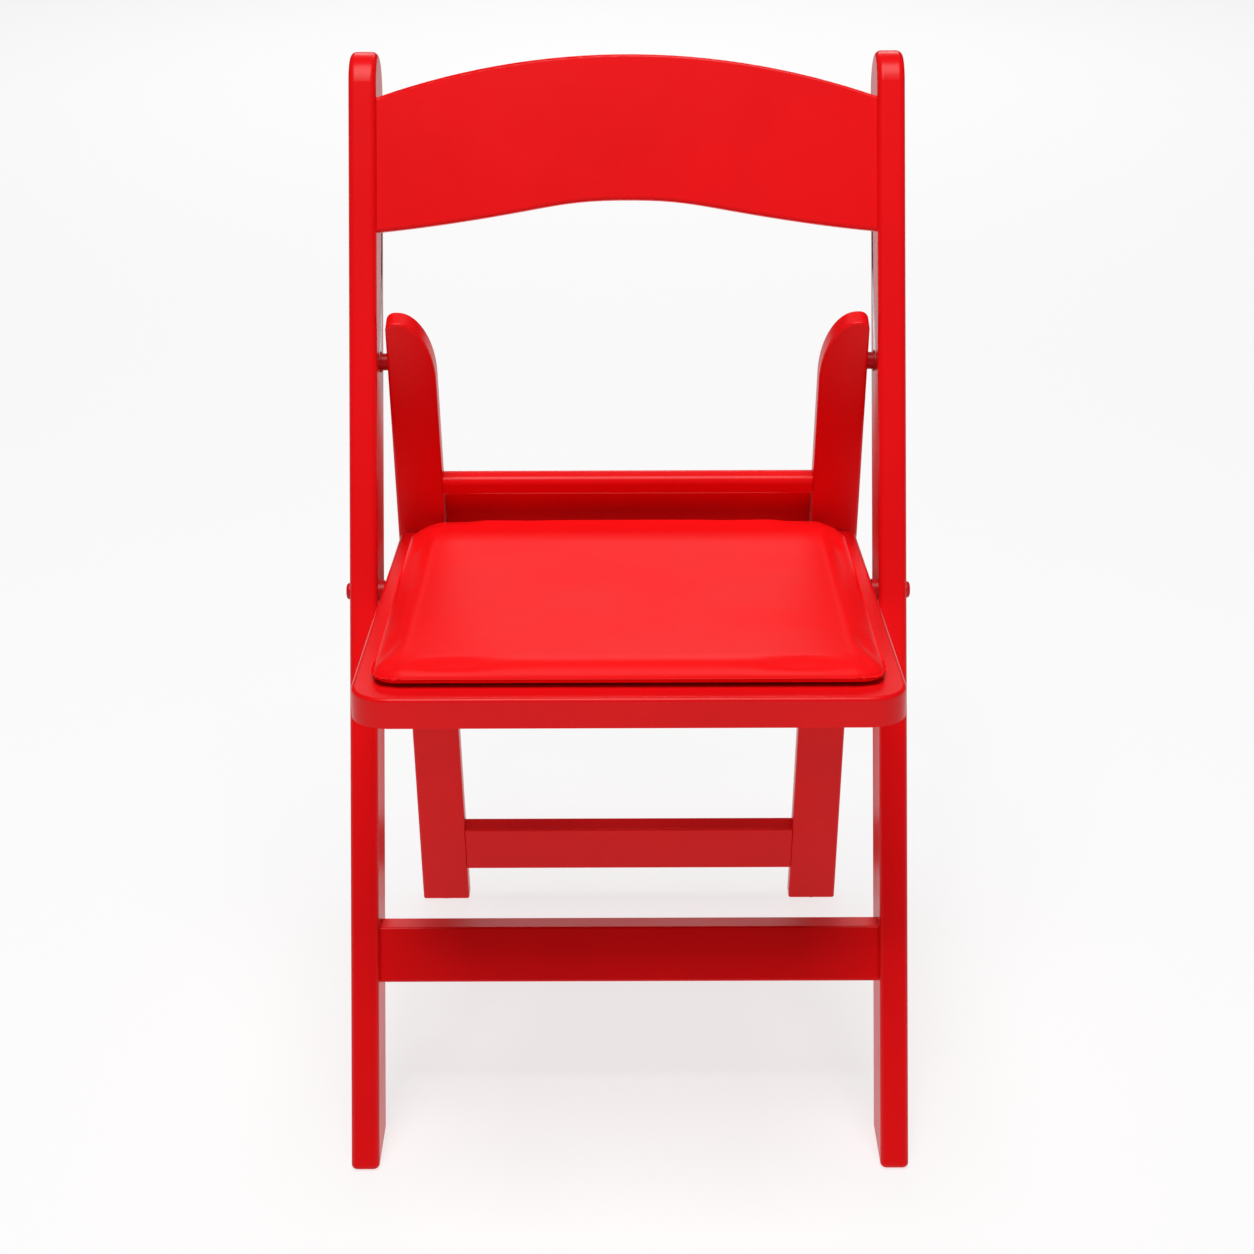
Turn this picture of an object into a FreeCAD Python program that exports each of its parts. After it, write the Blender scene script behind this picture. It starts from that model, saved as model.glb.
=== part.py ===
import FreeCAD, Part
import math
import os

from FreeCAD import Placement, Rotation, Vector

os.makedirs("parts", exist_ok=True)

# A folding chair moulded in plastic, with a padded seat.  Millimetres, +Z up, the chair faces -Y.
# The front frame is two long posts that are front legs and backrest in one, joined by a slat
# and a stretcher.  The seat turns on the posts.  The rear frame hangs on the seat's two lugs,
# and its top pins run up a groove in each post as the chair folds flat.

# ---- whole chair ----
OVERALL_WIDTH = 429.4
POST_LENGTH = 869.0          # foot to rounded top, along the post
BACK_LEAN = 22.3             # degrees from upright, top leaning back
LEG_LEAN = 17.7              # degrees from upright, top leaning forward
FOOT_SPREAD = 434.7          # front of the post's foot to front of the rear leg's foot
X_AXIS = Vector(1, 0, 0)

# ---- posts ----
POST_THICK = 21.6
POST_DEPTH = 57.0
POST_EDGE = 5.0
POST_INNER = OVERALL_WIDTH / 2 - POST_THICK

# ---- backrest slat, in the plane of the posts ----
SLAT_FRONT = 5.0             # behind the posts' front face
SLAT_THICK = 8.0
SLAT_DROP = 6.6              # slat's crest below the posts' tops
SLAT_TOP_RADIUS = 584.0
SLAT_HEIGHT = 112.6          # at the middle
SLAT_RISE = 24.6             # bottom edge's middle above its ends
SLAT_EDGE = 2.5
SLAT_TOP = POST_LENGTH - SLAT_DROP
SLAT_BOTTOM_MID = SLAT_TOP - SLAT_HEIGHT
SLAT_BOTTOM_END = SLAT_BOTTOM_MID - SLAT_RISE

# ---- front stretcher ----
FRONT_RAIL_SET = 10.0        # behind the posts' front face
FRONT_RAIL_THICK = 16.0
FRONT_RAIL_HEIGHT = 43.1
FRONT_RAIL_CLEAR = 4.25      # rail's top front edge below the rear feet when folded flat
RAIL_EDGE = 2.0

# ---- rear frame ----
LEG_THICK = 18.0
LEG_SIDE_GAP = 1.1           # leg's foot to the post's inner face
LEG_FOOT_WIDTH = 42.7
LEG_TOP_WIDTH = 37.0
LEG_TOP_INSET = 28.0         # rounding of the top's inner corner, across
LEG_TOP_FALL = 55.0          # the same rounding, down the leg
LEG_TOP_CORNER = 7.0         # outer corner of the leg's top
LEG_EDGE = 2.2
LEG_ABOVE_PIN = 40.5
LEG_INNER = POST_INNER - LEG_SIDE_GAP - LEG_FOOT_WIDTH
REAR_RAIL_LOW = 40.5
REAR_RAIL_HIGH = 91.0
REAR_RAIL_THICK = 16.0
CROSSBAR_RISE = 35.0         # above the seat's level, along the leg
CROSSBAR_HEIGHT = 17.5
CROSSBAR_THICK = 16.0
CROSSBAR_EDGE = 6.0
APRON_DROP = 7.5             # apron's foot below the seat's level, along the leg
APRON_SET = 9.0
APRON_THICK = 6.0
APRON_GAP = 0.3

# ---- seat ----
SEAT_FRONT_Y = -72.0         # top front edge, from the front of the post's foot
SEAT_FRONT_Z = 431.5
SEAT_SLOPE = 2.5             # degrees, falling to the back
SEAT_REAR_GAP = 1.03         # seat's rear edge to the rear legs' front faces
SEAT_SIDE_GAP = 2.2          # seat's front corner to the post's inner face
SEAT_TAPER = 4.9             # on each side, front to rear
SEAT_HEIGHT = 21.7
SEAT_WALL = 5.0
SEAT_PLATE = 4.0
SEAT_FRONT_ROUND = 28.0
SEAT_REAR_ROUND = 8.0
SEAT_EDGE = 3.0
SEAT_FRONT_WIDTH = 2 * (POST_INNER - SEAT_SIDE_GAP)
SEAT_REAR_WIDTH = SEAT_FRONT_WIDTH - 2 * SEAT_TAPER
RIB_THICK = 3.0
RIB_DEPTH = 11.0
RIB_PITCH = 80.0
RIB_ROWS = (-2, -1, 0, 1, 2)
LUG_THICK = 14.5
LUG_WALL = 7.0               # round the hinge's sleeve
LUG_ROOT = 50.0              # how far the lug runs forward under the seat's plate
LUG_GAP = 3.2                # lug to the rear leg's inner face, filled by a washer

# ---- seat pad ----
PAD_FRONT = 18.0             # from the seat's front edge
PAD_REAR = 11.0              # from the seat's rear edge
PAD_FRONT_SIDE = 14.5        # from the seat's side, at the front
PAD_REAR_SIDE = 12.0         # from the seat's side, at the rear
PAD_FRONT_ROUND = 20.0
PAD_REAR_ROUND = 32.0
PAD_HEIGHT = 11.0
PAD_EDGE = 4.0
BOARD_HEIGHT = 3.0
BOARD_INSET = 14.0
PAD_FRONT_WIDTH = SEAT_FRONT_WIDTH - 2 * PAD_FRONT_SIDE
PAD_REAR_WIDTH = SEAT_REAR_WIDTH - 2 * PAD_REAR_SIDE

# ---- pivots ----
SEAT_PIVOT_ALONG = 448.3     # along the post
SEAT_PIVOT_SET = 12.0        # behind the post's front face
FOLD_GAP = 1.25              # between the seat's rim and the rear legs when folded flat
SLIDE_SET = 25.98            # slide pin behind the post's front face, chair unfolded
BOLT_RADIUS = 3.0
HEAD_RIM = 3.5               # a head's rim outside its bolt
BOLT_HEAD_HEIGHT = 3.2
HEAD_DOME = 2.56             # rounding of a seat bolt's head
NUT_WALL = 2.2
NUT_HEIGHT = 5.0
NUT_ROOM = 4.0               # pocket left beyond the nut for the bolt's end
BOLT_END = 2.0               # bolt beyond its nut
SLEEVE_WALL = 1.95
WASHER_RIM = 3.5             # a washer's rim outside the sleeve
SEAT_BOSS_WALL = 2.4
SEAT_BOSS_LENGTH = 17.0
PIN_RADIUS = 5.0
PIN_IN_LEG = 21.0
BUSH_WALL = 1.65
COLLAR_RIM = 3.0
COLLAR_THICK = 1.6
BUSH_SINK = 1.0              # bush let into the leg's outer face
HEAD_SINK = 0.5              # hinge bolt's head below the leg's outer face
GROOVE_DEPTH = 9.0
TRACK_WALL = 1.0
PATH_STEPS = 12

# ---- small hardware ----
DOWEL_RADIUS = 2.5
DOWEL_HALF = 9.0
DOWEL_MARGIN = 13.0          # from a rail's edge to its pegs
SLAT_DOWEL_LOW = 30.0        # above the slat's lower corner
SLAT_DOWEL_HIGH = 80.0
SCREW_RADIUS = 2.2
SCREW_HEAD_RADIUS = 4.5
SCREW_HEAD_HEIGHT = 2.5
SCREW_SIDE = 56.0            # from the cushion's front side edge
SCREW_END = 60.0             # from the cushion's front and rear edges
SCREW_SHORT = 0.5            # screw's end below the board's top
GLIDE_RADIUS = 7.0
GLIDE_SET = 2.0              # post's glide behind the middle of its foot
GLIDE_STEM_RADIUS = 4.0
GLIDE_STEM = 12.0
GLIDE_STAND = 1.0            # how far a foot's glide stands out below the foot
POST_SOLE_ROUND = 3.0        # rounding round the sole of a post's foot
LEG_SOLE_ROUND = 1.8

# ---- named clearances ----
RUNNING_FIT = 0.05           # pin in a sleeve, on the radius
SIDE_GAP = 0.4               # between faces that slide past each other
PIN_PLAY = 0.4               # slide pin in its track, on the radius
WASHER_PLAY = 0.6            # seat's side to the washer on the post
LUG_SINK = 0.5               # lug's top below the seat plate's underside
CUT_PAST = 1.0               # a cutter's run past the face that it opens
LEG_PAST = 30.0              # a leg's bar below the floor, cut off level

SLEEVE_RADIUS = BOLT_RADIUS + RUNNING_FIT + SLEEVE_WALL
BOLT_HEAD_RADIUS = BOLT_RADIUS + HEAD_RIM
NUT_RADIUS = BOLT_RADIUS + NUT_WALL
WASHER_RADIUS = SLEEVE_RADIUS + WASHER_RIM
SEAT_BOSS_RADIUS = SLEEVE_RADIUS + SEAT_BOSS_WALL
LUG_RADIUS = SLEEVE_RADIUS + LUG_WALL
BUSH_RADIUS = PIN_RADIUS + BUSH_WALL
COLLAR_RADIUS = PIN_RADIUS + COLLAR_RIM

front_place = Placement(Vector(0, 0, 0), Rotation(X_AXIS, -BACK_LEAN))
rear_place = Placement(Vector(0, FOOT_SPREAD, 0), Rotation(X_AXIS, LEG_LEAN))
seat_place = Placement(Vector(0, SEAT_FRONT_Y, SEAT_FRONT_Z), Rotation(X_AXIS, -SEAT_SLOPE))



def leg_line(frame, set_back):
    """Foot and direction of a line up the rear leg, as a sub-frame sees them."""
    foot = frame.inverse().multVec(rear_place.multVec(Vector(0, set_back, 0)))
    ahead = frame.inverse().multVec(rear_place.multVec(Vector(0, set_back, 1)))
    return foot, ahead - foot


# The rear legs' front faces cross the plane of the seat's top, and their middle plane crosses
# the posts: these two places set the seat's depth and the heights along the rear legs.  The
# hinge lies so far below the seat that the legs fold flat against the seat's rim.
seat_foot, seat_run = leg_line(seat_place, 0)
SEAT_LEVEL_ALONG = -seat_foot.z / seat_run.z
SEAT_DEPTH = seat_foot.y + seat_run.y * SEAT_LEVEL_ALONG - SEAT_REAR_GAP
PAD_DEPTH = SEAT_DEPTH - PAD_FRONT - PAD_REAR
hinge_foot, hinge_run = leg_line(seat_place, LEG_THICK / 2)
HINGE_ALONG = -(SEAT_HEIGHT + FOLD_GAP + LEG_THICK / 2 + hinge_foot.z) / hinge_run.z
CROSSBAR_LOW = SEAT_LEVEL_ALONG + CROSSBAR_RISE
CROSSBAR_HIGH = CROSSBAR_LOW + CROSSBAR_HEIGHT
APRON_LOW = SEAT_LEVEL_ALONG - APRON_DROP
post_foot, post_run = leg_line(front_place, LEG_THICK / 2)
SLIDE_ALONG = (SLIDE_SET - post_foot.y) / post_run.y
LEG_LENGTH = SLIDE_ALONG + LEG_ABOVE_PIN

seat_pivot = front_place.multVec(Vector(0, SEAT_PIVOT_SET, SEAT_PIVOT_ALONG))
hinge = rear_place.multVec(Vector(0, LEG_THICK / 2, HINGE_ALONG))
slide = rear_place.multVec(Vector(0, LEG_THICK / 2, SLIDE_ALONG))

# Folded, the seat and the rear legs lie in the plane of the posts.
SEAT_FOLD = 90.0 - BACK_LEAN + SEAT_SLOPE
LEG_FOLD = BACK_LEAN + LEG_LEAN
FOLD_RATIO = -(SEAT_FOLD + LEG_FOLD) / SEAT_FOLD


def slide_point(share):
    """Centre of the slide pin in the post's own frame, with the fold done by this share."""
    to_hinge = Rotation(X_AXIS, share * SEAT_FOLD).multVec(hinge - seat_pivot)
    to_slide = Rotation(X_AXIS, -share * LEG_FOLD).multVec(slide - hinge)
    return front_place.inverse().multVec(seat_pivot + to_hinge + to_slide)


def leg_outer(along):
    """Half width over the rear legs' outer faces at a height along the leg."""
    width = LEG_FOOT_WIDTH + (LEG_TOP_WIDTH - LEG_FOOT_WIDTH) * along / LEG_LENGTH
    return LEG_INNER + width


def seat_half(back):
    """Half width of the seat at a distance behind its front edge."""
    return (SEAT_FRONT_WIDTH + (SEAT_REAR_WIDTH - SEAT_FRONT_WIDTH) * back / SEAT_DEPTH) / 2


# Faces across the chair that meet at the pivots, as distances from the centre plane.
pivot_in_seat = seat_place.inverse().multVec(seat_pivot)
hinge_in_seat = seat_place.inverse().multVec(hinge)
SEAT_SIDE_X = seat_half(pivot_in_seat.y)
SEAT_BOSS_X = SEAT_SIDE_X - SEAT_BOSS_LENGTH
SEAT_NUT_X = SEAT_BOSS_X - SIDE_GAP
HINGE_HEAD_X = leg_outer(HINGE_ALONG) - BOLT_HEAD_HEIGHT - HEAD_SINK
BUSH_START_X = leg_outer(SLIDE_ALONG) - BUSH_SINK
COLLAR_START_X = POST_INNER - SIDE_GAP - COLLAR_THICK
LUG_OUTER = LEG_INNER - LUG_GAP
LUG_INNER_X = LUG_OUTER - LUG_THICK
TRACK_REACH = PIN_RADIUS + PIN_PLAY + TRACK_WALL


def rod(radius, start, end, center):
    """Round bar along X, from start to end, through the centre's Y and Z."""
    return Part.makeCylinder(radius, end - start, Vector(start, center.y, center.z), X_AXIS)


def hex_nut(start, end, center):
    """Six-sided nut along X."""
    corners = []
    for turn in range(7):
        angle = math.radians(60 * turn)
        step = Vector(0, NUT_RADIUS * math.cos(angle), NUT_RADIUS * math.sin(angle))
        corners.append(Vector(start, center.y, center.z) + step)
    return Part.Face(Part.makePolygon(corners)).extrude(Vector(end - start, 0, 0))


def block(low, high):
    """Box between two corners."""
    size = high - low
    return Part.makeBox(size.x, size.y, size.z, low)


def outline(points, thickness):
    """Plate whose outline is a closed polygon of points."""
    return Part.Face(Part.makePolygon(points + points[:1])).extrude(thickness)


def mirrored(shape):
    """The same piece on the other side of the chair."""
    return shape.mirror(Vector(0, 0, 0), X_AXIS)


def both_sides(shape):
    """A piece and its mirror image as two solids of one group."""
    return Part.Compound([shape, mirrored(shape)])


def placed(shape, place):
    """The shape moved from a sub-frame into the chair's frame."""
    moved = shape.copy()
    moved.Placement = place.multiply(moved.Placement)
    return moved


def rounded_plate(half_front, half_rear, front, depth, rounds, low, height):
    """Plate with a tapering plan, rounded at its front and its rear corners."""
    rear = front + depth
    corners = [(-half_front, front), (half_front, front), (half_rear, rear), (-half_rear, rear)]
    plate = outline([Vector(x, y, low) for x, y in corners], Vector(0, 0, height))
    middle = front + depth / 2
    for radius, at_front in ((rounds[0], True), (rounds[1], False)):
        upright = [e for e in plate.Edges
                   if abs(e.Vertexes[0].Z - e.Vertexes[1].Z) > height / 2
                   and (e.Vertexes[0].Y < middle) == at_front]
        plate = plate.makeFillet(radius, upright)
    return plate


def rim_edges(shape, level):
    """Edges that lie all at one height."""
    return [e for e in shape.Edges
            if abs(e.BoundBox.ZMin - level) < 0.001 and abs(e.BoundBox.ZMax - level) < 0.001]


def groove_solid(reach, depth):
    """Curved slot around the slide pin's path, in the post's frame, open at the inner face."""
    left = []
    right = []
    for step in range(PATH_STEPS + 1):
        share = step / PATH_STEPS
        center = slide_point(share)
        ahead = slide_point(share + 0.005) - slide_point(share - 0.005)
        side = X_AXIS.cross(ahead)
        side.normalize()
        left.append(center + side * reach)
        right.append(center - side * reach)
    edges = []
    for points in (left, list(reversed(right))):
        curve = Part.BSplineCurve()
        curve.interpolate(points)
        edges.append(curve.toShape())
    ends = ((0, right[0], left[0], -1), (1, left[-1], right[-1], 1))
    for share, first, last, sense in ends:
        ahead = slide_point(share + 0.005) - slide_point(share - 0.005)
        ahead.normalize()
        tip = slide_point(share) + ahead * reach * sense
        edges.append(Part.Arc(first, tip, last).toShape())
    wire = Part.Wire(Part.__sortEdges__(edges))
    face = Part.Face(wire)
    face.translate(Vector(POST_INNER, 0, 0))
    return face.extrude(Vector(depth, 0, 0))


def dowels(heights, set_back, joint_x):
    """Round pegs across a butt joint, in the frame of the two pieces they join."""
    pegs = []
    for height in heights:
        center = Vector(0, set_back, height)
        pegs.append(rod(DOWEL_RADIUS, joint_x - DOWEL_HALF, joint_x + DOWEL_HALF, center))
    return Part.Compound(pegs)


# Folded flat, the rear feet come down just above the front stretcher.
FRONT_RAIL_HIGH = slide_point(1).z - SLIDE_ALONG - FRONT_RAIL_CLEAR
FRONT_RAIL_LOW = FRONT_RAIL_HIGH - FRONT_RAIL_HEIGHT

slat_dowels = dowels((SLAT_BOTTOM_END + SLAT_DOWEL_LOW, SLAT_BOTTOM_END + SLAT_DOWEL_HIGH),
                     SLAT_FRONT + SLAT_THICK / 2, POST_INNER)
front_rail_dowels = dowels((FRONT_RAIL_LOW + DOWEL_MARGIN, FRONT_RAIL_HIGH - DOWEL_MARGIN),
                           FRONT_RAIL_SET + FRONT_RAIL_THICK / 2, POST_INNER)
rear_rail_dowels = dowels((REAR_RAIL_LOW + DOWEL_MARGIN, REAR_RAIL_HIGH - DOWEL_MARGIN),
                          REAR_RAIL_THICK / 2, LEG_INNER)
crossbar_dowels = dowels(((CROSSBAR_LOW + CROSSBAR_HIGH) / 2,), CROSSBAR_THICK / 2, LEG_INNER)


def glide(foot):
    """Foot glide: a disc under the foot with a stem pressed up into it."""
    disc = Part.makeCylinder(GLIDE_RADIUS, GLIDE_STAND, foot)
    stem = Part.makeCylinder(GLIDE_STEM_RADIUS, GLIDE_STEM, foot + Vector(0, 0, GLIDE_STAND))
    return disc.fuse(stem).removeSplitter()


front_glide = glide(Vector(POST_INNER + POST_THICK / 2, POST_DEPTH / 2 + GLIDE_SET, 0))
rear_glide = glide(Vector(LEG_INNER + LEG_FOOT_WIDTH / 2, FOOT_SPREAD + LEG_THICK / 2, 0))


def standing(shape, foot_glide, sole_round):
    """A leg cut flat above the floor and bored for its glide."""
    below = block(Vector(-OVERALL_WIDTH, -OVERALL_WIDTH, -2 * LEG_PAST),
                  Vector(OVERALL_WIDTH, 2 * FOOT_SPREAD, GLIDE_STAND))
    shape = shape.cut(below)
    return shape.makeFillet(sole_round, rim_edges(shape, GLIDE_STAND)).cut(foot_glide)


def post():
    """Front leg and backrest side in one: a flat bar with a rounded top."""
    radius = POST_DEPTH / 2
    low = Vector(POST_INNER, 0, -LEG_PAST)
    top_front = Vector(POST_INNER, 0, POST_LENGTH - radius)
    top_rear = Vector(POST_INNER, POST_DEPTH, POST_LENGTH - radius)
    low_rear = Vector(POST_INNER, POST_DEPTH, -LEG_PAST)
    crown = Part.Arc(top_front, Vector(POST_INNER, radius, POST_LENGTH), top_rear).toShape()
    sides = [Part.makeLine(low, top_front), crown, Part.makeLine(top_rear, low_rear),
             Part.makeLine(low_rear, low)]
    bar = Part.Face(Part.Wire(sides)).extrude(Vector(POST_THICK, 0, 0))
    rim = [e for e in bar.Edges if e.BoundBox.XLength < 0.001 and e.BoundBox.ZMax > 0]
    bar = bar.makeFillet(POST_EDGE, rim)
    bar = bar.cut(groove_solid(TRACK_REACH, GROOVE_DEPTH))
    bar = bar.cut(slat_dowels).cut(front_rail_dowels)
    bar = placed(bar, front_place)
    bore = rod(BOLT_RADIUS, POST_INNER - CUT_PAST, OVERALL_WIDTH / 2 + CUT_PAST, seat_pivot)
    return standing(bar, front_glide, POST_SOLE_ROUND).cut(bore)


def slot_track():
    """Thin steel channel that lines the groove."""
    inner = groove_solid(TRACK_REACH - TRACK_WALL, GROOVE_DEPTH - TRACK_WALL)
    return placed(groove_solid(TRACK_REACH, GROOVE_DEPTH).cut(inner), front_place)


def back_slat():
    """Curved top slat between the posts: arched above, with a raised middle below."""
    half = POST_INNER
    drop = SLAT_TOP_RADIUS - math.sqrt(SLAT_TOP_RADIUS ** 2 - half ** 2)
    top = Part.Arc(Vector(-half, SLAT_FRONT, SLAT_TOP - drop), Vector(0, SLAT_FRONT, SLAT_TOP),
                   Vector(half, SLAT_FRONT, SLAT_TOP - drop)).toShape()
    rise = SLAT_BOTTOM_MID - SLAT_BOTTOM_END
    lower = []
    for share, level in ((0, 1.0), (0.2, 0.93), (0.4, 0.68), (0.6, 0.41), (0.8, 0.18), (1, 0)):
        lower.append(Vector(half * share, SLAT_FRONT, SLAT_BOTTOM_END + rise * level))
    points = [Vector(-p.x, p.y, p.z) for p in reversed(lower[1:])] + lower
    curve = Part.BSplineCurve()
    curve.interpolate(points)
    ends = [Part.makeLine(Vector(side * half, SLAT_FRONT, SLAT_TOP - drop),
                          Vector(side * half, SLAT_FRONT, SLAT_BOTTOM_END)) for side in (-1, 1)]
    wire = Part.Wire(Part.__sortEdges__([top, curve.toShape()] + ends))
    slat = Part.Face(wire).extrude(Vector(0, SLAT_THICK, 0))
    long_edges = [e for e in slat.Edges if e.BoundBox.XLength > half and e.BoundBox.YLength < 0.001]
    slat = slat.makeFillet(SLAT_EDGE, long_edges)
    slat = slat.cut(slat_dowels).cut(mirrored(slat_dowels))
    return placed(slat, front_place)


def front_stretcher():
    """Flat rail between the posts' feet, with level top and bottom faces."""
    slope = math.tan(math.radians(BACK_LEAN))
    front = FRONT_RAIL_SET
    back = FRONT_RAIL_SET + FRONT_RAIL_THICK
    rise = FRONT_RAIL_THICK * slope
    section = [Vector(-POST_INNER, front, FRONT_RAIL_LOW),
               Vector(-POST_INNER, back, FRONT_RAIL_LOW + rise),
               Vector(-POST_INNER, back, FRONT_RAIL_HIGH + rise),
               Vector(-POST_INNER, front, FRONT_RAIL_HIGH)]
    rail = outline(section, Vector(2 * POST_INNER, 0, 0))
    rail = rail.makeFillet(RAIL_EDGE, [e for e in rail.Edges if e.BoundBox.XLength > POST_INNER])
    rail = rail.cut(front_rail_dowels).cut(mirrored(front_rail_dowels))
    return placed(rail, front_place)


def rear_leg():
    """Rear leg: a flat bar that narrows upwards, its top's inner side a quarter of an ellipse."""
    outer_top = leg_outer(LEG_LENGTH)
    shoulder = LEG_LENGTH - LEG_TOP_FALL
    center = Vector(LEG_INNER + LEG_TOP_INSET, 0, shoulder)
    inner_side = Vector(LEG_INNER, 0, shoulder)
    crest = Vector(center.x, 0, LEG_LENGTH)
    oval = Part.Ellipse(crest, inner_side, center)
    turn = Part.ArcOfEllipse(oval, 0, math.pi / 2).toShape()
    corners = [crest, Vector(outer_top, 0, LEG_LENGTH), Vector(leg_outer(-LEG_PAST), 0, -LEG_PAST),
               Vector(LEG_INNER, 0, -LEG_PAST), inner_side]
    sides = [Part.makeLine(first, last) for first, last in zip(corners, corners[1:])]
    wire = Part.Wire(Part.__sortEdges__(sides + [turn]))
    bar = Part.Face(wire).extrude(Vector(0, LEG_THICK, 0))
    corner = [e for e in bar.Edges if abs(e.BoundBox.XMin - outer_top) < 0.01
              and abs(e.BoundBox.XMax - outer_top) < 0.01]
    bar = bar.makeFillet(LEG_TOP_CORNER, corner)
    rim = [e for e in bar.Edges if e.BoundBox.YLength < 0.001 and e.BoundBox.ZMax > 0]
    bar = bar.makeFillet(LEG_EDGE, rim)
    bar = bar.cut(rear_rail_dowels).cut(crossbar_dowels)
    bar = placed(bar, rear_place)
    for cutter in (hinge_bolt(), slide_pin(), slide_bush()):
        bar = bar.cut(cutter)
    head_room = rod(BOLT_HEAD_RADIUS, HINGE_HEAD_X, leg_outer(0), hinge)
    bush_room = rod(BUSH_RADIUS, BUSH_START_X, leg_outer(0), slide)
    return standing(bar.cut(head_room).cut(bush_room), rear_glide, LEG_SOLE_ROUND)


def rear_stretcher():
    """Wide flat rail between the rear legs, flush with their front faces."""
    rail = block(Vector(-LEG_INNER, 0, REAR_RAIL_LOW),
                 Vector(LEG_INNER, REAR_RAIL_THICK, REAR_RAIL_HIGH))
    rail = rail.makeFillet(RAIL_EDGE, [e for e in rail.Edges if e.BoundBox.XLength > LEG_INNER])
    rail = rail.cut(rear_rail_dowels).cut(mirrored(rear_rail_dowels))
    return placed(rail, rear_place)


def rear_crossbar():
    """Rounded bar above the seat's rear edge, with a board below it, clear of both legs."""
    bar = block(Vector(-LEG_INNER, 0, CROSSBAR_LOW), Vector(LEG_INNER, CROSSBAR_THICK, CROSSBAR_HIGH))
    bar = bar.makeFillet(CROSSBAR_EDGE, [e for e in bar.Edges if e.BoundBox.XLength > LEG_INNER])
    half = LEG_INNER - APRON_GAP
    apron = block(Vector(-half, APRON_SET, APRON_LOW),
                  Vector(half, APRON_SET + APRON_THICK, (CROSSBAR_LOW + CROSSBAR_HIGH) / 2))
    bar = bar.fuse(apron).removeSplitter()
    bar = bar.cut(crossbar_dowels).cut(mirrored(crossbar_dowels))
    return placed(bar, rear_place)


def seat_bolt():
    """Domed bolt from outside the post, through it and into the seat's boss."""
    outside = OVERALL_WIDTH / 2
    head = rod(BOLT_HEAD_RADIUS, outside, outside + BOLT_HEAD_HEIGHT, seat_pivot)
    rim = [e for e in head.Edges if e.BoundBox.XMin > outside + 1]
    head = head.makeFillet(HEAD_DOME, rim)
    shank = rod(BOLT_RADIUS, SEAT_NUT_X - NUT_HEIGHT - BOLT_END, outside, seat_pivot)
    return head.fuse(shank).removeSplitter()


def seat_bushing():
    """Steel sleeve in the seat's boss, turning on the bolt."""
    outer = rod(SLEEVE_RADIUS, SEAT_BOSS_X, SEAT_SIDE_X, seat_pivot)
    return outer.cut(rod(BOLT_RADIUS + RUNNING_FIT, SEAT_BOSS_X - CUT_PAST,
                         SEAT_SIDE_X + CUT_PAST, seat_pivot))


def seat_washer():
    """Spacer between the post and the seat's side."""
    start = SEAT_SIDE_X + WASHER_PLAY
    disc = rod(WASHER_RADIUS, start, POST_INNER, seat_pivot)
    return disc.cut(rod(BOLT_RADIUS, start - CUT_PAST, POST_INNER + CUT_PAST, seat_pivot))


def seat_nut():
    """Lock nut on the bolt inside the seat."""
    nut = hex_nut(SEAT_NUT_X - NUT_HEIGHT, SEAT_NUT_X, seat_pivot)
    return nut.cut(rod(BOLT_RADIUS, 0, OVERALL_WIDTH / 2, seat_pivot))


def hinge_bolt():
    """Bolt from the rear leg's outer face into the seat's lug."""
    head = rod(BOLT_HEAD_RADIUS, HINGE_HEAD_X, HINGE_HEAD_X + BOLT_HEAD_HEIGHT, hinge)
    shank = rod(BOLT_RADIUS, LUG_INNER_X - SIDE_GAP - NUT_HEIGHT - BOLT_END, HINGE_HEAD_X, hinge)
    return head.fuse(shank).removeSplitter()


def hinge_sleeve():
    """Steel sleeve in the seat's lug, turning on the hinge bolt."""
    outer = rod(SLEEVE_RADIUS, LUG_INNER_X, LUG_OUTER, hinge)
    return outer.cut(rod(BOLT_RADIUS + RUNNING_FIT, LUG_INNER_X - CUT_PAST,
                         LUG_OUTER + CUT_PAST, hinge))


def hinge_washer():
    """Spacer between the lug and the leg's inner face."""
    disc = rod(WASHER_RADIUS, LUG_OUTER + SIDE_GAP, LEG_INNER, hinge)
    return disc.cut(rod(BOLT_RADIUS, LUG_OUTER, LEG_INNER + CUT_PAST, hinge))


def hinge_nut():
    """Lock nut on the lug's inner side."""
    end = LUG_INNER_X - SIDE_GAP
    nut = hex_nut(end - NUT_HEIGHT, end, hinge)
    return nut.cut(rod(BOLT_RADIUS, end - NUT_HEIGHT - CUT_PAST, end + CUT_PAST, hinge))


def slide_pin():
    """Steel pin pressed into the leg's top, its end in the post's track."""
    start = leg_outer(SLIDE_ALONG) - PIN_IN_LEG
    return rod(PIN_RADIUS, start, POST_INNER + GROOVE_DEPTH - TRACK_WALL - SIDE_GAP, slide)


def slide_bush():
    """Plastic spacer on the slide pin, between leg and collar."""
    outer = rod(BUSH_RADIUS, BUSH_START_X, COLLAR_START_X, slide)
    return outer.cut(rod(PIN_RADIUS, BUSH_START_X - CUT_PAST, COLLAR_START_X + CUT_PAST, slide))


def slide_collar():
    """Wear disc on the slide pin, against the post's inner face."""
    end = COLLAR_START_X + COLLAR_THICK
    disc = rod(COLLAR_RADIUS, COLLAR_START_X, end, slide)
    return disc.cut(rod(PIN_RADIUS, COLLAR_START_X - CUT_PAST, end + CUT_PAST, slide))


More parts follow.
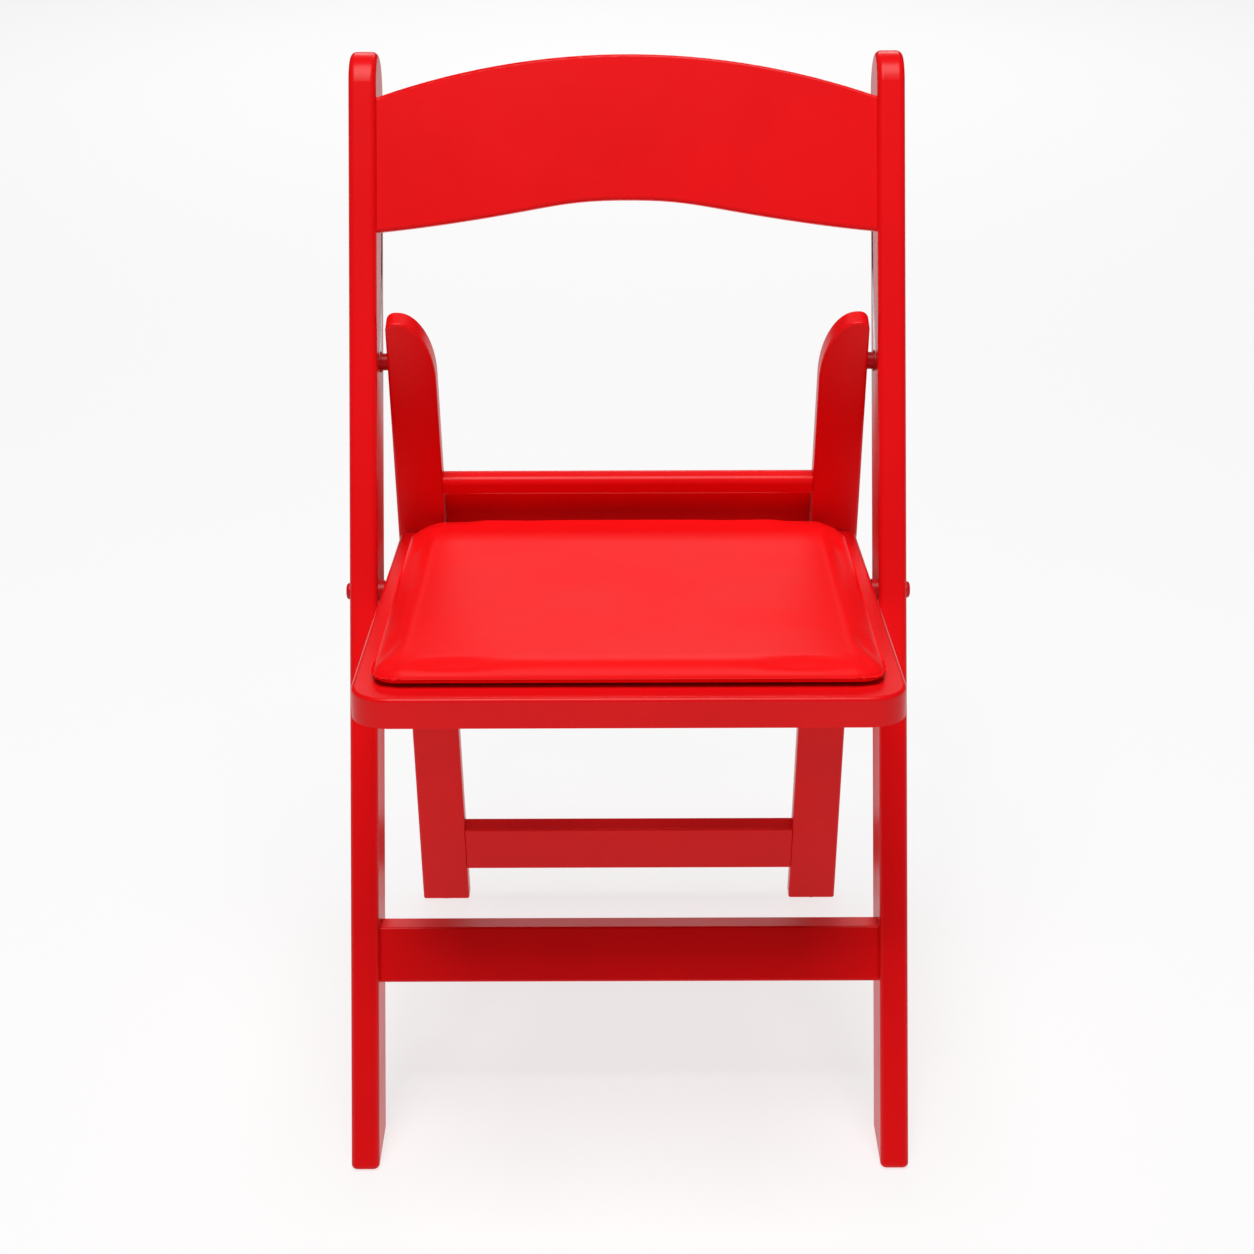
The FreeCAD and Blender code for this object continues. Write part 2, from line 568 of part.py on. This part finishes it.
def tray():
    """Seat's moulded shell: flat top, walls all round, ribs underneath."""
    rounds = (SEAT_FRONT_ROUND, SEAT_REAR_ROUND)
    half_front = SEAT_FRONT_WIDTH / 2
    half_rear = SEAT_REAR_WIDTH / 2
    shell = rounded_plate(half_front, half_rear, 0, SEAT_DEPTH, rounds, -SEAT_HEIGHT, SEAT_HEIGHT)
    shell = shell.makeFillet(SEAT_EDGE, rim_edges(shell, 0))
    inner_rounds = (SEAT_FRONT_ROUND - SEAT_WALL, SEAT_REAR_ROUND - SEAT_WALL)
    hollow = rounded_plate(half_front - SEAT_WALL, half_rear - SEAT_WALL, SEAT_WALL,
                           SEAT_DEPTH - 2 * SEAT_WALL, inner_rounds,
                           -SEAT_HEIGHT - CUT_PAST, SEAT_HEIGHT - SEAT_PLATE + CUT_PAST)
    ribs = []
    for row in RIB_ROWS:
        middle = row * RIB_PITCH
        ribs.append(block(Vector(middle - RIB_THICK / 2, SEAT_WALL, -SEAT_PLATE - RIB_DEPTH),
                          Vector(middle + RIB_THICK / 2, SEAT_DEPTH - SEAT_WALL, -SEAT_PLATE)))
    for row in range(1, int(SEAT_DEPTH / RIB_PITCH) + 1):
        back = row * RIB_PITCH - RIB_THICK / 2
        ribs.append(block(Vector(RIB_ROWS[0] * RIB_PITCH, back, -SEAT_PLATE - RIB_DEPTH),
                          Vector(RIB_ROWS[-1] * RIB_PITCH, back + RIB_THICK, -SEAT_PLATE)))
    return shell.cut(hollow.cut(Part.Compound(ribs)))


def seat_lug():
    """Ear at the seat's rear that reaches back between the legs to the hinge."""
    start_back = SEAT_DEPTH - LUG_ROOT
    top = -SEAT_PLATE - LUG_SINK
    slant = LUG_RADIUS * math.sqrt(0.5)
    points = [Vector(LUG_INNER_X, start_back, top), Vector(LUG_INNER_X, SEAT_DEPTH - 1, top),
              Vector(LUG_INNER_X, hinge_in_seat.y + slant, hinge_in_seat.z + slant),
              Vector(LUG_INNER_X, hinge_in_seat.y, hinge_in_seat.z - LUG_RADIUS),
              Vector(LUG_INNER_X, start_back, -SEAT_HEIGHT)]
    ear = outline(points, Vector(LUG_THICK, 0, 0))
    return ear.fuse(rod(LUG_RADIUS, LUG_INNER_X, LUG_OUTER, hinge_in_seat))


def seat_frame():
    """Seat shell with its two bosses and two lugs, bored for the sleeves and the pad's screws."""
    boss = rod(SEAT_BOSS_RADIUS, SEAT_BOSS_X, SEAT_SIDE_X - SEAT_WALL / 2, pivot_in_seat)
    body = tray()
    for piece in (boss, seat_lug()):
        body = body.fuse(piece).fuse(mirrored(piece))
    body = body.removeSplitter()
    nut_room = rod(NUT_RADIUS + SIDE_GAP, SEAT_BOSS_X - NUT_HEIGHT - NUT_ROOM, SEAT_BOSS_X,
                   pivot_in_seat)
    pivot_bore = rod(SLEEVE_RADIUS, SEAT_BOSS_X, OVERALL_WIDTH / 2, pivot_in_seat)
    hinge_bore = rod(SLEEVE_RADIUS, LUG_INNER_X, LUG_OUTER, hinge_in_seat)
    for cutter in (nut_room, pivot_bore, hinge_bore):
        body = body.cut(cutter).cut(mirrored(cutter))
    body = body.cut(pad_screw_group())
    return placed(body, seat_place)


def pad_screw_group():
    """Four screws from below, through the seat's plate into the pad's board."""
    screws = []
    half = PAD_FRONT_WIDTH / 2 - SCREW_SIDE
    for x in (-half, half):
        for back in (PAD_FRONT + SCREW_END, PAD_FRONT + PAD_DEPTH - SCREW_END):
            head_low = -SEAT_PLATE - SCREW_HEAD_HEIGHT
            head = Part.makeCylinder(SCREW_HEAD_RADIUS, SCREW_HEAD_HEIGHT, Vector(x, back, head_low))
            shank = Part.makeCylinder(SCREW_RADIUS, SEAT_PLATE + BOARD_HEIGHT - SCREW_SHORT,
                                      Vector(x, back, -SEAT_PLATE))
            screws.append(head.fuse(shank).removeSplitter())
    return Part.Compound(screws)


def pad_board():
    """Thin board under the cushion."""
    board = rounded_plate(PAD_FRONT_WIDTH / 2 - BOARD_INSET, PAD_REAR_WIDTH / 2 - BOARD_INSET,
                          PAD_FRONT + BOARD_INSET, PAD_DEPTH - 2 * BOARD_INSET,
                          (PAD_FRONT_ROUND - BOARD_INSET, PAD_REAR_ROUND - BOARD_INSET),
                          0, BOARD_HEIGHT)
    return placed(board.cut(pad_screw_group()), seat_place)


def seat_pad():
    """Foam cushion in its cover."""
    pad = rounded_plate(PAD_FRONT_WIDTH / 2, PAD_REAR_WIDTH / 2, PAD_FRONT, PAD_DEPTH,
                        (PAD_FRONT_ROUND, PAD_REAR_ROUND), BOARD_HEIGHT, PAD_HEIGHT)
    pad = pad.makeFillet(PAD_EDGE, rim_edges(pad, BOARD_HEIGHT + PAD_HEIGHT))
    return placed(pad, seat_place)


right_post = post()
right_track = slot_track()
right_leg = rear_leg()

nodes = {
    "left_post": mirrored(right_post),
    "right_post": right_post,
    "left_slot_track": mirrored(right_track),
    "right_slot_track": right_track,
    "back_slat": back_slat(),
    "front_stretcher": front_stretcher(),
    "slat_dowels": placed(both_sides(slat_dowels), front_place),
    "front_stretcher_dowels": placed(both_sides(front_rail_dowels), front_place),
    "front_glides": both_sides(front_glide),
    "seat_bolts": both_sides(seat_bolt()),
    "seat_bolt_washers": both_sides(seat_washer()),
    "seat_bolt_nuts": both_sides(seat_nut()),
    "seat_frame": seat_frame(),
    "seat_bushings": both_sides(seat_bushing()),
    "hinge_sleeves": both_sides(hinge_sleeve()),
    "pad_board": pad_board(),
    "pad_screws": placed(pad_screw_group(), seat_place),
    "seat_pad": seat_pad(),
    "left_rear_leg": mirrored(right_leg),
    "right_rear_leg": right_leg,
    "rear_stretcher": rear_stretcher(),
    "rear_crossbar": rear_crossbar(),
    "rear_stretcher_dowels": placed(both_sides(rear_rail_dowels), rear_place),
    "crossbar_dowels": placed(both_sides(crossbar_dowels), rear_place),
    "hinge_bolts": both_sides(hinge_bolt()),
    "hinge_washers": both_sides(hinge_washer()),
    "hinge_nuts": both_sides(hinge_nut()),
    "slide_pins": both_sides(slide_pin()),
    "slide_bushes": both_sides(slide_bush()),
    "slide_collars": both_sides(slide_collar()),
    "rear_glides": both_sides(rear_glide),
}

# The origin is on the floor, midway between the chair's foremost and rearmost points.
whole = Part.Compound(list(nodes.values())).optimalBoundingBox()
center_shift = Vector(0, -(whole.YMin + whole.YMax) / 2, 0)
for name, shape in nodes.items():
    shape.translate(center_shift)
    shape.exportStep("parts/" + name + ".step")

for label, point in (("seat pivot", seat_pivot), ("hinge", hinge), ("slide pin", slide)):
    where = point + center_shift
    print(label, round(where.y, 3), round(where.z, 3))
print("seat fold", round(SEAT_FOLD, 3), "ratio", round(FOLD_RATIO, 6))
print("height", round(whole.ZMax, 2), "depth", round(whole.YLength, 2), "shift", round(center_shift.y, 3))
for share in (0, 0.25, 0.5, 0.75, 1):
    point = slide_point(share)
    print("slide pin in post", share, round(point.y, 2), round(point.z, 2))
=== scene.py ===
import math

import bmesh
import bpy
from mathutils import Matrix, Vector


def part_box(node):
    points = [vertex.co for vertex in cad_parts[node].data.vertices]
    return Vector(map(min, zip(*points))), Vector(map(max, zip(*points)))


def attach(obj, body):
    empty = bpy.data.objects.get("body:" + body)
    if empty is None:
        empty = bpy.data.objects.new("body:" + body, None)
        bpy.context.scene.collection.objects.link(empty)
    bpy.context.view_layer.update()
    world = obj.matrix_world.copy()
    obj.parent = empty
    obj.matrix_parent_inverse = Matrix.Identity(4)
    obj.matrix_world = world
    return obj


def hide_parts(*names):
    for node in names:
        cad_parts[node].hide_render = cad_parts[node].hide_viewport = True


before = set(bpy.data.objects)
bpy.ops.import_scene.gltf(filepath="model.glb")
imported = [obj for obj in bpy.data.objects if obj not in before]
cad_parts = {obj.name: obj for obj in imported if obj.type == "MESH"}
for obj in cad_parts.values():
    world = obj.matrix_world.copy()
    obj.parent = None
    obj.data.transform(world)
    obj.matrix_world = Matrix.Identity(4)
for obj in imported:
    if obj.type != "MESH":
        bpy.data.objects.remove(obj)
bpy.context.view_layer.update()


# ---- Camera, floor and lights ----
# White studio paper under and behind the chair, a large soft box above and in front of it,
# a small lamp that catches the rounded rims, and a third lamp that whitens the far paper.
camera_pitch = math.radians(22.35)
camera_roll = math.radians(0.18)
camera_data = bpy.data.cameras.new("camera")
camera_data.lens = 69.18
camera_data.sensor_width = 36.0
camera = bpy.data.objects.new("camera", camera_data)
camera.location = (-0.0010, -1.7457, 1.0937)
camera.rotation_euler = (
    Matrix.Rotation(math.pi / 2 - camera_pitch, 3, "X") @ Matrix.Rotation(-camera_roll, 3, "Z")
).to_euler()
bpy.context.collection.objects.link(camera)
bpy.context.scene.camera = camera

floor_mesh = bpy.data.meshes.new("floor")
floor_build = bmesh.new()
bmesh.ops.create_grid(floor_build, x_segments=1, y_segments=1, size=60.0)
floor_build.to_mesh(floor_mesh)
floor_build.free()
floor = bpy.data.objects.new("floor", floor_mesh)
bpy.context.collection.objects.link(floor)
paper = bpy.data.materials.new("studio_paper")
paper.use_nodes = True
paper_shader = paper.node_tree.nodes["Principled BSDF"]
paper_shader.inputs["Base Color"].default_value = (0.24, 0.24, 0.24, 1)
paper_shader.inputs["Roughness"].default_value = 0.9
paper_shader.inputs["Specular IOR Level"].default_value = 0.1
paper_shader.inputs["Emission Color"].default_value = (1, 1, 1, 1)
paper_shader.inputs["Emission Strength"].default_value = 0.75
floor_mesh.materials.append(paper)

studio = bpy.data.worlds.new("studio")
studio.use_nodes = True
studio.node_tree.nodes["Background"].inputs["Color"].default_value = (1, 1, 1, 1)
studio.node_tree.nodes["Background"].inputs["Strength"].default_value = 0.03
bpy.context.scene.world = studio
bpy.context.scene.view_settings.view_transform = "Standard"


def soft_box(name, place, aim, size, watts):
    """A square soft light that looks at a point."""
    lamp = bpy.data.lights.new(name, "AREA")
    lamp.size = size
    lamp.energy = watts
    holder = bpy.data.objects.new(name, lamp)
    holder.location = place
    toward = Vector(aim) - Vector(place)
    holder.rotation_euler = toward.to_track_quat("-Z", "Y").to_euler()
    bpy.context.collection.objects.link(holder)


soft_box("overhead", (-0.1, -1.6, 5.6), (0, 0, 0.4), 3.0, 280)
soft_box("edge_light", (-0.5, -2.2, 3.8), (0, 0, 0.5), 0.30, 16)
soft_box("far_floor", (0, 5.4, 3.4), (0, 5.4, 0), 3.0, 110)


# ---- Posts ----
# The front legs run on up to carry the backrest. Each is one moulding of polypropylene,
# coloured right through, with a satin skin that takes a fine grain from the mould.
def moulded_plastic(name, color, roughness, grain_depth=0.10):
    """Satin moulded plastic with a fine grain and the faint unevenness of cooling."""
    material = bpy.data.materials.new(name)
    material.use_nodes = True
    tree = material.node_tree
    shader = tree.nodes["Principled BSDF"]
    shader.inputs["IOR"].default_value = 1.24
    place = tree.nodes.new("ShaderNodeTexCoord")
    cooling = tree.nodes.new("ShaderNodeTexNoise")
    cooling.inputs["Scale"].default_value = 7.0
    cooling.inputs["Detail"].default_value = 4.0
    tree.links.new(place.outputs["Object"], cooling.inputs["Vector"])
    shade = tree.nodes.new("ShaderNodeValToRGB")
    shade.color_ramp.elements[0].position = 0.3
    shade.color_ramp.elements[0].color = [c * 0.94 for c in color] + [1]
    shade.color_ramp.elements[1].position = 0.7
    shade.color_ramp.elements[1].color = [min(1.0, c * 1.04) for c in color] + [1]
    tree.links.new(cooling.outputs["Fac"], shade.inputs["Fac"])
    tree.links.new(shade.outputs["Color"], shader.inputs["Base Color"])
    handling = tree.nodes.new("ShaderNodeTexNoise")
    handling.inputs["Scale"].default_value = 26.0
    handling.inputs["Detail"].default_value = 5.0
    tree.links.new(place.outputs["Object"], handling.inputs["Vector"])
    gloss = tree.nodes.new("ShaderNodeMapRange")
    gloss.inputs["From Min"].default_value = 0.35
    gloss.inputs["From Max"].default_value = 0.65
    gloss.inputs["To Min"].default_value = roughness * 0.97
    gloss.inputs["To Max"].default_value = roughness * 1.04
    tree.links.new(handling.outputs["Fac"], gloss.inputs["Value"])
    tree.links.new(gloss.outputs["Result"], shader.inputs["Roughness"])
    grain = tree.nodes.new("ShaderNodeTexNoise")
    grain.inputs["Scale"].default_value = 1400.0
    grain.inputs["Detail"].default_value = 2.0
    tree.links.new(place.outputs["Object"], grain.inputs["Vector"])
    skin = tree.nodes.new("ShaderNodeBump")
    skin.inputs["Strength"].default_value = grain_depth
    skin.inputs["Distance"].default_value = 0.0001
    tree.links.new(grain.outputs["Fac"], skin.inputs["Height"])
    tree.links.new(skin.outputs["Normal"], shader.inputs["Normal"])
    return material


def finish_node(name, material):
    """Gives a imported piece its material."""
    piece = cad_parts[name]
    piece.data.materials.clear()
    piece.data.materials.append(material)


red_resin = moulded_plastic("red_resin", (0.80, 0.005, 0.007), 0.30)
for name in ("left_post", "right_post"):
    finish_node(name, red_resin)


# ---- Slot tracks ----
# A bent steel channel lines the groove in each post's inner face. It is zinc plated, and
# the pins of the rear legs polish it where they run.
def plated_steel(name, color, roughness):
    """Zinc-plated steel with fine drawing lines and clouded plating."""
    material = bpy.data.materials.new(name)
    material.use_nodes = True
    tree = material.node_tree
    shader = tree.nodes["Principled BSDF"]
    shader.inputs["Metallic"].default_value = 1.0
    place = tree.nodes.new("ShaderNodeTexCoord")
    clouds = tree.nodes.new("ShaderNodeTexNoise")
    clouds.inputs["Scale"].default_value = 160.0
    clouds.inputs["Detail"].default_value = 4.0
    tree.links.new(place.outputs["Object"], clouds.inputs["Vector"])
    shade = tree.nodes.new("ShaderNodeValToRGB")
    shade.color_ramp.elements[0].color = [c * 0.8 for c in color] + [1]
    shade.color_ramp.elements[1].color = [*color, 1]
    tree.links.new(clouds.outputs["Fac"], shade.inputs["Fac"])
    tree.links.new(shade.outputs["Color"], shader.inputs["Base Color"])
    gloss = tree.nodes.new("ShaderNodeMapRange")
    gloss.inputs["To Min"].default_value = roughness * 0.8
    gloss.inputs["To Max"].default_value = roughness * 1.3
    tree.links.new(clouds.outputs["Fac"], gloss.inputs["Value"])
    tree.links.new(gloss.outputs["Result"], shader.inputs["Roughness"])
    stretch = tree.nodes.new("ShaderNodeMapping")
    stretch.inputs["Scale"].default_value = (120.0, 120.0, 4000.0)
    tree.links.new(place.outputs["Object"], stretch.inputs["Vector"])
    drawing = tree.nodes.new("ShaderNodeTexNoise")
    drawing.inputs["Scale"].default_value = 1.0
    tree.links.new(stretch.outputs["Vector"], drawing.inputs["Vector"])
    lines = tree.nodes.new("ShaderNodeBump")
    lines.inputs["Strength"].default_value = 0.15
    lines.inputs["Distance"].default_value = 0.0001
    tree.links.new(drawing.outputs["Fac"], lines.inputs["Height"])
    tree.links.new(lines.outputs["Normal"], shader.inputs["Normal"])
    return material


steel = plated_steel("plated_steel", (0.62, 0.62, 0.64), 0.32)
for name in ("left_slot_track", "right_slot_track"):
    finish_node(name, steel)


# ---- Back slat and front stretcher ----
# Two more mouldings of the same plastic: the arched slat between the posts' tops and the
# flat rail between their feet. Both are pegged and glued to the posts, so no fixing shows.
for name in ("back_slat", "front_stretcher"):
    finish_node(name, red_resin)
natural_nylon = moulded_plastic("natural_nylon", (0.62, 0.58, 0.50), 0.45)
for name in ("slat_dowels", "front_stretcher_dowels", "rear_stretcher_dowels", "crossbar_dowels"):
    finish_node(name, natural_nylon)


# ---- Rear frame ----
# Two legs with a broad rail near the floor and a rounded crossbar behind the seat. The board
# under the crossbar closes the gap above the seat and stays clear of the legs at its ends.
for name in ("left_rear_leg", "right_rear_leg", "rear_stretcher", "rear_crossbar"):
    finish_node(name, red_resin)


# ---- Seat frame ----
# A shallow tray moulded in one with its ribs, its bosses for the post bolts and its two lugs
# for the rear frame. Its rim stands round the cushion as a narrow border.
finish_node("seat_frame", red_resin)


# ---- Cushion board ----
# A thin sheet of hardboard that the cushion's cover is stapled round. It keeps the cushion
# just clear of the tray, so a dark line shows below the cushion's edge.
def pressed_board(name):
    """Brown hardboard with short pressed fibres."""
    material = bpy.data.materials.new(name)
    material.use_nodes = True
    tree = material.node_tree
    shader = tree.nodes["Principled BSDF"]
    shader.inputs["Roughness"].default_value = 0.85
    place = tree.nodes.new("ShaderNodeTexCoord")
    fibre = tree.nodes.new("ShaderNodeTexNoise")
    fibre.inputs["Scale"].default_value = 420.0
    fibre.inputs["Detail"].default_value = 6.0
    fibre.inputs["Distortion"].default_value = 1.5
    tree.links.new(place.outputs["Object"], fibre.inputs["Vector"])
    shade = tree.nodes.new("ShaderNodeValToRGB")
    shade.color_ramp.elements[0].color = (0.10, 0.055, 0.03, 1)
    shade.color_ramp.elements[1].color = (0.30, 0.19, 0.11, 1)
    tree.links.new(fibre.outputs["Fac"], shade.inputs["Fac"])
    tree.links.new(shade.outputs["Color"], shader.inputs["Base Color"])
    relief = tree.nodes.new("ShaderNodeBump")
    relief.inputs["Strength"].default_value = 0.4
    relief.inputs["Distance"].default_value = 0.0002
    tree.links.new(fibre.outputs["Fac"], relief.inputs["Height"])
    tree.links.new(relief.outputs["Normal"], shader.inputs["Normal"])
    return material


finish_node("pad_board", pressed_board("hardboard"))


# ---- Cushion ----
# Foam under smooth red vinyl, pulled down over the board and stapled below. The foam's cut
# edge shows as a soft fold just inside each side, and the front edge rolls over and under.
seat_slope = math.radians(2.5)
pad_low, pad_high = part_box("seat_pad")
pad_height = 0.011
pad_half_front = pad_high.x
pad_taper = 0.0024
pad_half_rear = pad_half_front - pad_taper
pad_depth = (pad_high.y - pad_low.y - pad_height * math.sin(seat_slope)) / math.cos(seat_slope)
pad_front_round = 0.020
pad_rear_round = 0.032
pad_top_roll = 0.0045
pad_under_roll = 0.0030
pad_place = (
    Matrix.Translation((0, pad_low.y, pad_high.z - pad_height * math.cos(seat_slope)))
    @ Matrix.Rotation(-seat_slope, 4, "X")
)


def vinyl(name, color):
    """Smooth upholstery vinyl: a fine pebbled grain under a soft gloss."""
    material = bpy.data.materials.new(name)
    material.use_nodes = True
    tree = material.node_tree
    shader = tree.nodes["Principled BSDF"]
    shader.inputs["IOR"].default_value = 1.15
    place = tree.nodes.new("ShaderNodeTexCoord")
    tone = tree.nodes.new("ShaderNodeTexNoise")
    tone.inputs["Scale"].default_value = 11.0
    tone.inputs["Detail"].default_value = 3.0
    tree.links.new(place.outputs["Object"], tone.inputs["Vector"])
    shade = tree.nodes.new("ShaderNodeValToRGB")
    shade.color_ramp.elements[0].position = 0.3
    shade.color_ramp.elements[0].color = [c * 0.96 for c in color] + [1]
    shade.color_ramp.elements[1].position = 0.7
    shade.color_ramp.elements[1].color = [*color, 1]
    tree.links.new(tone.outputs["Fac"], shade.inputs["Fac"])
    tree.links.new(shade.outputs["Color"], shader.inputs["Base Color"])
    pebbles = tree.nodes.new("ShaderNodeTexVoronoi")
    pebbles.feature = "SMOOTH_F1"
    pebbles.inputs["Scale"].default_value = 1300.0
    pebbles.inputs["Smoothness"].default_value = 0.6
    tree.links.new(place.outputs["Object"], pebbles.inputs["Vector"])
    gloss = tree.nodes.new("ShaderNodeMapRange")
    gloss.inputs["From Min"].default_value = 0.3
    gloss.inputs["From Max"].default_value = 0.7
    gloss.inputs["To Min"].default_value = 0.38
    gloss.inputs["To Max"].default_value = 0.48
    tree.links.new(tone.outputs["Fac"], gloss.inputs["Value"])
    tree.links.new(gloss.outputs["Result"], shader.inputs["Roughness"])
    grain = tree.nodes.new("ShaderNodeBump")
    grain.inputs["Strength"].default_value = 0.12
    grain.inputs["Distance"].default_value = 0.0002
    grain.invert = True
    tree.links.new(pebbles.outputs["Distance"], grain.inputs["Height"])
    tree.links.new(grain.outputs["Normal"], shader.inputs["Normal"])
    return material


def cushion_blank(height):
    """The foam's own shape in the tray's plane: tapering, with round corners and a rolled rim."""
    build = bmesh.new()
    bmesh.ops.create_cube(build, size=1.0)
    for vertex in build.verts:
        at_rear = vertex.co.y > 0
        vertex.co.x = math.copysign(pad_half_rear if at_rear else pad_half_front, vertex.co.x)
        vertex.co.y = pad_depth if at_rear else 0.0
        vertex.co.z = height if vertex.co.z > 0 else 0.0
    for at_rear, radius in ((False, pad_front_round), (True, pad_rear_round)):
        corners = [e for e in build.edges
                   if abs(e.verts[0].co.z - e.verts[1].co.z) > height / 2
                   and (e.verts[0].co.y > pad_depth / 2) == at_rear]
        bmesh.ops.bevel(build, geom=corners, offset=radius, offset_type="OFFSET", affect="EDGES",
                        segments=10, profile=0.5, material=-1)
    for level, roll in ((height, pad_top_roll), (0.0, pad_under_roll)):
        rim = [e for e in build.edges if all(abs(v.co.z - level) < height * 0.1 for v in e.verts)]
        bmesh.ops.bevel(build, geom=rim, offset=roll, offset_type="OFFSET", affect="EDGES",
                        segments=4, profile=0.5, material=-1)
    mesh = bpy.data.meshes.new("cushion")
    build.to_mesh(mesh)
    build.free()
    blank = bpy.data.objects.new("cushion", mesh)
    bpy.context.collection.objects.link(blank)
    return blank


def apply_modifiers(piece):
    """Replaces the piece's mesh by what its modifiers make of it."""
    bpy.context.view_layer.update()
    finished = bpy.data.meshes.new_from_object(
        piece.evaluated_get(bpy.context.evaluated_depsgraph_get()))
    piece.modifiers.clear()
    piece.data = finished


cushion = cushion_blank(pad_height)
skin_size = cushion.modifiers.new("remesh", "REMESH")
skin_size.mode = "VOXEL"
skin_size.voxel_size = 0.0040
apply_modifiers(cushion)

stapled_below = 0.0025
held = cushion.vertex_groups.new(name="held")
held.add([v.index for v in cushion.data.vertices if v.co.z < stapled_below], 1.0, "REPLACE")
before = [v.co.copy() for v in cushion.data.vertices]
swell = cushion.modifiers.new("swell", "CLOTH")
swell.settings.use_pressure = True
swell.settings.uniform_pressure_force = 4.0
swell.settings.vertex_group_mass = "held"
swell.settings.effector_weights.gravity = 0.0
swell.settings.tension_stiffness = 15.0
swell.settings.compression_stiffness = 15.0
swell.settings.bending_stiffness = 0.6
swell.point_cache.frame_start = 1
swell.point_cache.frame_end = 20
for step in range(1, 21):
    bpy.context.scene.frame_set(step)
apply_modifiers(cushion)
bpy.context.scene.frame_set(1)
most_side = 0.0016
most_up = 0.0030
for vertex, start in zip(cushion.data.vertices, before):
    move = vertex.co - start
    side = Vector((move.x, move.y, 0))
    if side.length > most_side:
        side *= most_side / side.length
    vertex.co = start + side + Vector((0, 0, max(0.0, min(most_up, move.z))))

for polygon in cushion.data.polygons:
    polygon.use_smooth = True
finer = cushion.modifiers.new("finer", "SUBSURF")
finer.levels = 1
finer.render_levels = 1
apply_modifiers(cushion)

cover_bulge = 0.0008
roll_depth = 0.030
roll_passes = 6
top_share = 0.45
fold_inset = 0.020
side_fall = 0.0036
front_fall = 0.0016
most_fall = side_fall * 1.2
ridge_height = 0.0005
ridge_width = 0.0028
ridge_front = 0.022
ridge_rear = pad_depth - 0.020
ridge_front_fade = 0.03
ridge_rear_fade = 0.04
shaping = bmesh.new()
shaping.from_mesh(cushion.data)
rolled = [v for v in shaping.verts
          if v.co.y < roll_depth or v.co.y > pad_depth - roll_depth]
for _ in range(roll_passes):
    bmesh.ops.smooth_vert(shaping, verts=rolled, factor=0.5,
                          use_axis_x=True, use_axis_y=True, use_axis_z=True)
reach_x = max(v.co.x for v in shaping.verts)
low_y = min(v.co.y for v in shaping.verts)
high_y = max(v.co.y for v in shaping.verts)
for vertex in shaping.verts:
    vertex.co.x *= (pad_half_front + cover_bulge) / reach_x
    vertex.co.y = (vertex.co.y - low_y) * pad_depth / (high_y - low_y)
    if vertex.co.z > pad_height * top_share:
        half = pad_half_front + (pad_half_rear - pad_half_front) * vertex.co.y / pad_depth
        inward = half - abs(vertex.co.x)
        from_front = (vertex.co.y - ridge_front) / ridge_front_fade
        from_rear = (ridge_rear - vertex.co.y) / ridge_rear_fade
        ends = max(0.0, min(1.0, from_front, from_rear))
        ridge = ends * math.exp(-((inward - fold_inset) / ridge_width) ** 2)
        fall = side_fall * max(0.0, 1 - inward / fold_inset)
        fall += front_fall * max(0.0, 1 - vertex.co.y / fold_inset)
        vertex.co.z += ridge_height * ridge - min(fall, most_fall)
shaping.transform(pad_place)
shaping.to_mesh(cushion.data)
shaping.free()
cushion.data.materials.append(vinyl("red_vinyl", (0.95, 0.006, 0.008)))
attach(cushion, "seat")
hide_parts("seat_pad")


# ---- Bolts, spacers, sleeves, screws and glides ----
# Standard hardware: domed bolts painted to match, plastic spacers, steel sleeves and nuts,
# and black glides under the feet.
dark_resin = moulded_plastic("spacer_resin", (0.42, 0.005, 0.008), 0.34)
for name in ("slide_bushes", "slide_collars", "seat_bolt_washers", "hinge_washers"):
    finish_node(name, dark_resin)
painted = moulded_plastic("red_paint", (0.62, 0.008, 0.014), 0.25)
finish_node("seat_bolts", painted)
for name in ("seat_bolt_nuts", "seat_bushings", "hinge_sleeves", "pad_screws", "hinge_bolts",
             "hinge_nuts", "slide_pins"):
    finish_node(name, steel)
black_nylon = moulded_plastic("black_nylon", (0.02, 0.02, 0.022), 0.5, grain_depth=0.2)
for name in ("front_glides", "rear_glides"):
    finish_node(name, black_nylon)
